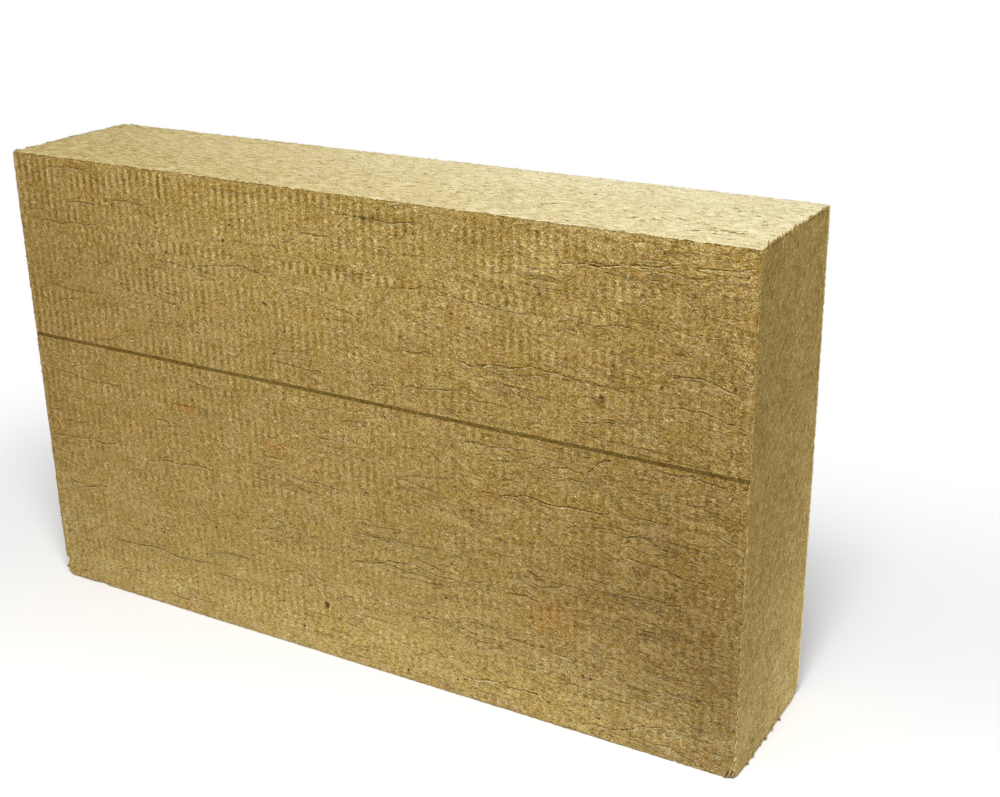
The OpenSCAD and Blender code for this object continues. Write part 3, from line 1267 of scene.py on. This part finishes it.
def pressed_finish():
    """The two big faces: golden khaki felt with the oven's imprint, creases,
    flecks and the marking line."""
    f = Finish("pressed_wool")
    along, through, up = f.parts()
    share_right = (along - LEFT) / LENGTH

    felt = f.noise(5, 3.0, 0.62)
    fine = f.noise((1.7, 1.4, 1.2), 2.0, 0.65, bend=0.8, seed=1)
    patches = f.noise(30, 3.0, 0.55, seed=2)
    layers = f.noise((60, 20, 15), 2.0, 0.45, bend=0.6, seed=3, about_y=5)
    finer = f.noise((42, 20, 10), bend=0.8, seed=14, about_y=9)
    rising = f.noise((11, 5, 4.5), 1.0, bend=1.2, seed=4, about_y=40)
    falling = f.noise((11, 5, 4.5), 1.0, bend=1.2, seed=5, about_y=-35)
    level = f.noise((12, 5, 4), 1.0, bend=1.2, seed=12, about_y=3)
    broken = f.noise(6, 1.0, seed=6)
    matted = f.noise((6, 3, 2.6), 1.0, bend=1.4, seed=15, about_y=-20)
    fibres = f.threads(matted, 0.05) - f.threads(matted - 0.13, 0.05)

    turn = (along - (LEFT + RIB_CREST)) / RIB_PITCH - f.stored("rib_turn") + patches * 0.25
    ribs = f.maths("COSINE", turn * (2 * math.pi)) * f.stored("rib")

    wrinkled = f.step(patches + share_right * 0.35, 0.02, 0.32)
    flakes = f.step(layers, -0.015, 0.015) + f.step(finer, -0.015, 0.015) - 1.0
    # Painted shade and highlight of the wrinkles: a darker line along each and a paler line just beside
    # it; both also shape the relief.
    folds = (f.threads(layers, 0.02) + f.threads(finer, 0.016)) * wrinkled
    edges = (f.threads(layers + 0.03, 0.018) + f.threads(finer + 0.025, 0.015)) * wrinkled
    flecks = f.threads(rising, 0.06) * f.step(broken, -0.03, 0.05)
    flecks = flecks + f.threads(falling, 0.06) * f.step(broken, 0.0, -0.08)
    seams = f.threads(level, 0.04) * f.step(felt, 0.04, 0.12)
    pits = f.step(f.noise(2.4, rough=0.6, seed=7), 0.24, 0.29)

    # Painted shade and highlight along the creases: the groove is painted darker, the lower lip paler as
    # lit from above, and a band above the crease darker; the groove and the lip also shape the relief.
    gap = f.stored("crease_gap") + f.noise(4, 3.0, 0.65, seed=8) * 3.4
    depth = f.stored("crease_depth") * f.step(broken + felt, -0.16, 0.06)
    groove_and_shade = f.step(abs(gap), 1.0, 0.1) * depth
    lip = f.step(abs(gap + 2.4), 1.8, 0.2) * depth
    shaded = f.step(abs(gap - 4.0), 4.0, 1.0) * depth

    tone = fine * 1.20 + felt * 0.14 + ribs * 0.06 + patches * 0.22
    tone = tone + flecks * 0.20 + fibres * 0.105 + lip * 0.12 + flakes * wrinkled * 0.03 + edges * 0.09
    tone = tone - seams * 0.15 - folds * 0.08 - pits * 0.24 - groove_and_shade * 0.16 - shaded * 0.05
    calm = f.step(up - share_right * 0.12, -0.05, 0.36) * 0.17 + 0.83
    calm = calm + f.step(up, 0.42, 0.58) * 0.12
    tone = (tone + f.stored("strand_tone")) * calm + 0.407
    colour = f.ramp(
        tone,
        (
            (0.096, 0.043, 0.001),
            (0.192, 0.111, 0.015),
            (0.346, 0.237, 0.082),
            (0.565, 0.438, 0.205),
            (0.805, 0.695, 0.425),
        ),
    )
    rusty = f.step(f.noise(26, 3.0, 0.6, seed=9), 0.04, 0.20)
    # Purplish darker patches, more of them to the right.
    purplish_noise = f.noise((30, 20, 14), 2.0, 0.55, seed=13, about_y=8)
    purplish_patches = f.step(purplish_noise + share_right * 0.10, 0.17, 0.28)
    green = f.step(f.noise(36, seed=10), 0.0, 0.18)
    stain_and_light_tints = f.node("ShaderNodeCombineXYZ", inputs={k: f.stored(name) for k, name in enumerate(TINTS)})
    # Painted shade: low on the face the darker tones are made deeper and browner, as shade in the felt's
    # crevices.
    deep = f.step(tone, 0.42, 0.22) * f.step(up, 0.62, 0.12)
    colour = f.tinted(
        colour,
        (rusty * 0.6, (0.95, 0.84, 0.78)),
        (purplish_patches * 0.7, (0.82, 0.72, 0.78)),
        (green * 0.5, (0.96, 1.00, 0.90)),
        (1.0, stain_and_light_tints),
        # painted light: paler towards the foot, where the white floor throws light up
        (f.step(up, *PAINTED_BOUNCE_HEIGHTS), PAINTED_BOUNCE_TIMES),
        (deep, (0.95, 0.89, 0.74)),
    )

    half = LINE_WIDTH / 2
    frayed = f.noise(2.5, rough=0.6, seed=11) * (1.6 * MM)
    in_line = f.step(abs(up - LINE_HEIGHT) + frayed, half + 0.5 * MM, half - 0.1 * MM)
    in_line = in_line * f.step(through, 0.0, -0.01)
    colour = f.tinted(colour, (in_line, (0.43, 0.41, 0.33)))

    height = fine * 0.7 + fibres * 0.10 + felt * 0.55 + flecks * 0.65 + ribs * 0.12
    height = height + flakes * wrinkled * 0.8 + lip * 0.3 + edges * 0.3
    height = height - seams * 0.3 - pits * 0.5 - folds * 0.3 - groove_and_shade * 0.5
    return f.finish(colour, height, 1.4)


def charred_finish():
    """Dark brown slag, with a purple cast in places."""
    f = Finish("charred_slag")
    patches = f.noise(9, 1.0, seed=40)
    colours = ((0.074, 0.036, 0.008), (0.095, 0.046, 0.010), (0.082, 0.034, 0.020))
    colour = f.ramp(patches + 0.5, colours, 0.35, 0.65)
    return f.finish(colour, f.noise(1, rough=0.6, seed=41), 0.5, roughness=0.8)


def sawn_edge_finish():
    """The long sawn edges: pale cream, with fine streaks along the board and small torn pits, tanner
    towards the left end and paler and whiter towards the right, which is painted light falling from the
    upper right."""
    f = Finish("sawn_edge_wool")
    along, through, _ = f.parts()
    share_right = (along - LEFT) / LENGTH
    streaks = f.noise((16, 2.2, 2.4), 3.0, 0.6, bend=0.6, seed=20)
    grain = f.noise(1.6, rough=0.6, seed=21)
    patches = f.noise(60, 3.0, seed=22)
    pits = f.noise((8, 5, 5), 1.0, bend=0.8, seed=23)
    torn = f.step(pits + patches * 0.35 + share_right * 0.06 - through * 0.4, 0.30, 0.33)
    threads = f.threads(f.noise((14, 5, 5), 1.0, bend=1.0, seed=24, about_y=8), 0.02)
    # Painted light: the tone rises towards the right end, as lit from the upper right.
    tone = 0.415 + share_right * 0.20 + streaks * 1.7 + grain * 1.55 + patches * 0.15
    far = f.step(through, -0.05, 0.08)
    tone = tone + far * f.step(abs(share_right - 0.58), 0.30, 0.05) * 0.06
    tone = tone - far * f.step(abs(share_right - 0.50), 0.35, 0.50) * 0.04
    tone = tone + f.step(through, -0.08, 0.10) * 0.10
    tone = tone - torn * 0.5 + threads * 0.08 + f.stored("strand_tone")
    colour = f.ramp(
        tone,
        (
            (0.185, 0.138, 0.012),
            (0.345, 0.268, 0.088),
            (0.548, 0.455, 0.227),
            (0.667, 0.595, 0.362),
            (0.780, 0.725, 0.510),
        ),
    )
    # Painted light: warmer at the left end and whiter at the right, where the light falls.
    painted_light_tint = f.blend(share_right, (1.04, 0.99, 0.90), (0.99, 1.00, 1.06))
    height = streaks * 0.9 + grain * 0.7 - torn * 1.2 + threads * 0.2
    return f.finish(f.tinted(colour, (1.0, painted_light_tint)), height, 1.4)


def sawn_end_finish():
    """The short sawn ends: olive tan, with short fibres leaning through the
    thickness, pale threads and small dark strokes."""
    f = Finish("sawn_end_wool")
    _, through, up = f.parts()
    fibre = f.noise((3, 1.5, 9), 3.0, 0.6, bend=0.7, seed=30, about_x=END_LEAN)
    grain = f.noise(1.8, rough=0.6, seed=31)
    patches = f.noise(50, 3.0, seed=32)
    strokes = f.noise((5, 4, 9), 1.0, bend=0.8, seed=33, about_x=END_LEAN)
    pale = f.threads(strokes, 0.028) * f.step(grain, -0.05, 0.08)
    pits = f.step(strokes, 0.19, 0.26)
    tone = 0.545 + fibre * 1.4 + grain * 1.4 + patches * 0.3 + pale * 0.15 - pits * 0.22
    tone = tone + f.stored("strand_tone") + f.step(through, 95 * MM, 98 * MM) * 0.36
    colour = f.ramp(
        tone,
        (
            (0.107, 0.062, 0.008),
            (0.230, 0.151, 0.037),
            (0.378, 0.257, 0.076),
            (0.538, 0.401, 0.158),
            (0.742, 0.609, 0.335),
        ),
    )
    # Painted light: the end is paler towards the back and low at the back, lit from behind on the right,
    # and darker at the top and paler and bluer low down and at the foot, lit by the white floor.
    further = f.blend(f.step(through, -0.12, 0.12), (0.93, 0.91, 0.87), (1.12, 1.13, 1.10))
    lower = f.blend(f.step(up, 0.60, 0.18), (0.94, 0.94, 0.93), (1.07, 1.07, 1.15))
    low_back = f.step(through, -0.02, 0.10) * f.step(up, 0.35, 0.10)
    colour = f.tinted(
        colour,
        (f.step(up, *PAINTED_BOUNCE_HEIGHTS), END_PAINTED_BOUNCE_TIMES),
        (1.0, further),
        (1.0, lower),
        (low_back, (1.10, 1.11, 1.10)),
    )
    height = fibre + grain * 0.7 + pale * 0.3 - pits * 0.8
    return f.finish(colour, height, 2.0)


# ------------------------------------------------------------ studio


def camera():
    """Looks down on the marked face from the right, as the board is seen."""
    data = bpy.data.cameras.new("camera")
    data.sensor_width = 36.0
    data.lens = CAMERA_LENS
    towards = Vector(CAMERA_AIM) - Vector(CAMERA_PLACE)
    roll = Matrix.Rotation(math.radians(CAMERA_ROLL), 3, "Z")
    turn = towards.to_track_quat("-Z", "Y").to_matrix() @ roll
    made = bpy.data.objects.new("camera", data)
    made.matrix_world = Matrix.Translation(CAMERA_PLACE) @ turn.to_4x4()
    bpy.context.scene.collection.objects.link(made)
    bpy.context.scene.camera = made


def soft_lamp(name, place, aim, size, watts):
    data = bpy.data.lights.new(name, "AREA")
    data.shape = "RECTANGLE"
    data.size, data.size_y = size
    data.energy = watts
    lamp = bpy.data.objects.new(name, data)
    lamp.location = place
    lamp.rotation_euler = (Vector(aim) - Vector(place)).to_track_quat("-Z", "Y").to_euler()
    bpy.context.scene.collection.objects.link(lamp)


def surround():
    """White where it is seen, and an even grey light for the rest."""
    world = bpy.data.worlds.new("surround")
    bpy.context.scene.world = world
    world.use_nodes = True
    steps = Steps(world.node_tree)
    seen = steps.seen_directly()
    level = steps.node("ShaderNodeMapRange", {}, {"Value": seen, "To Min": SURROUND_LIGHT})
    background = steps.tree.nodes["Background"]
    steps.fill(background.inputs["Strength"], level)
    steps.fill(background.inputs["Color"], (1, 1, 1))


def pale_floor():
    """A pale floor that takes the board's shadow, and fades into the white
    surround some way off."""
    f = Finish("pale_floor")
    f.dull((FLOOR_TONE,) * 3, 0.9)
    off = f.vectors("SUBTRACT", f.vectors("ABSOLUTE", f.place), (LENGTH / 2, THICK / 2, 0))
    away = f.vectors("LENGTH", f.vectors("MAXIMUM", off, (0, 0, 0)), out="Value")
    share = f.step(away, *FLOOR_FADE) * f.seen_directly()
    white = f.node("ShaderNodeEmission", {}, {"Color": (1, 1, 1)})
    mixed = f.node("ShaderNodeMixShader", {}, {0: share, 1: Value(f, f.shader.outputs[0]), 2: white})
    f.fill(f.tree.nodes["Material Output"].inputs["Surface"], mixed)
    corners = np.array([(-1, -1, 0), (1, -1, 0), (1, 1, 0), (-1, 1, 0)]) * FLOOR_REACH
    floor = new_mesh("floor", corners, [(0, 1, 2, 3)], [f.material])
    floor.location.z = -0.3 * MM


# ------------------------------------------------------------ the whole

bpy.context.scene.view_settings.view_transform = "Standard"
camera()
surround()
for lamp in LAMPS:
    soft_lamp(*lamp)
pale_floor()
chance = np.random.default_rng(5)
lines = crease_lines(list(CREASES) + minor_creases(chance, MINOR_CREASES), chance)
creases = crease_map(crease_segments(lines, chance))
finishes = [pressed_finish(), sawn_edge_finish(), sawn_end_finish()]
build_board(creases, finishes)
for name, layers in STRAND_PIECES.items():
    felted(chance, name, layers, creases, finishes)
felt_folds(chance, "felt_folds", lines, creases, finishes)
corner_curls("corner_curls", creases, finishes)
charred_bits(creases, charred_finish())
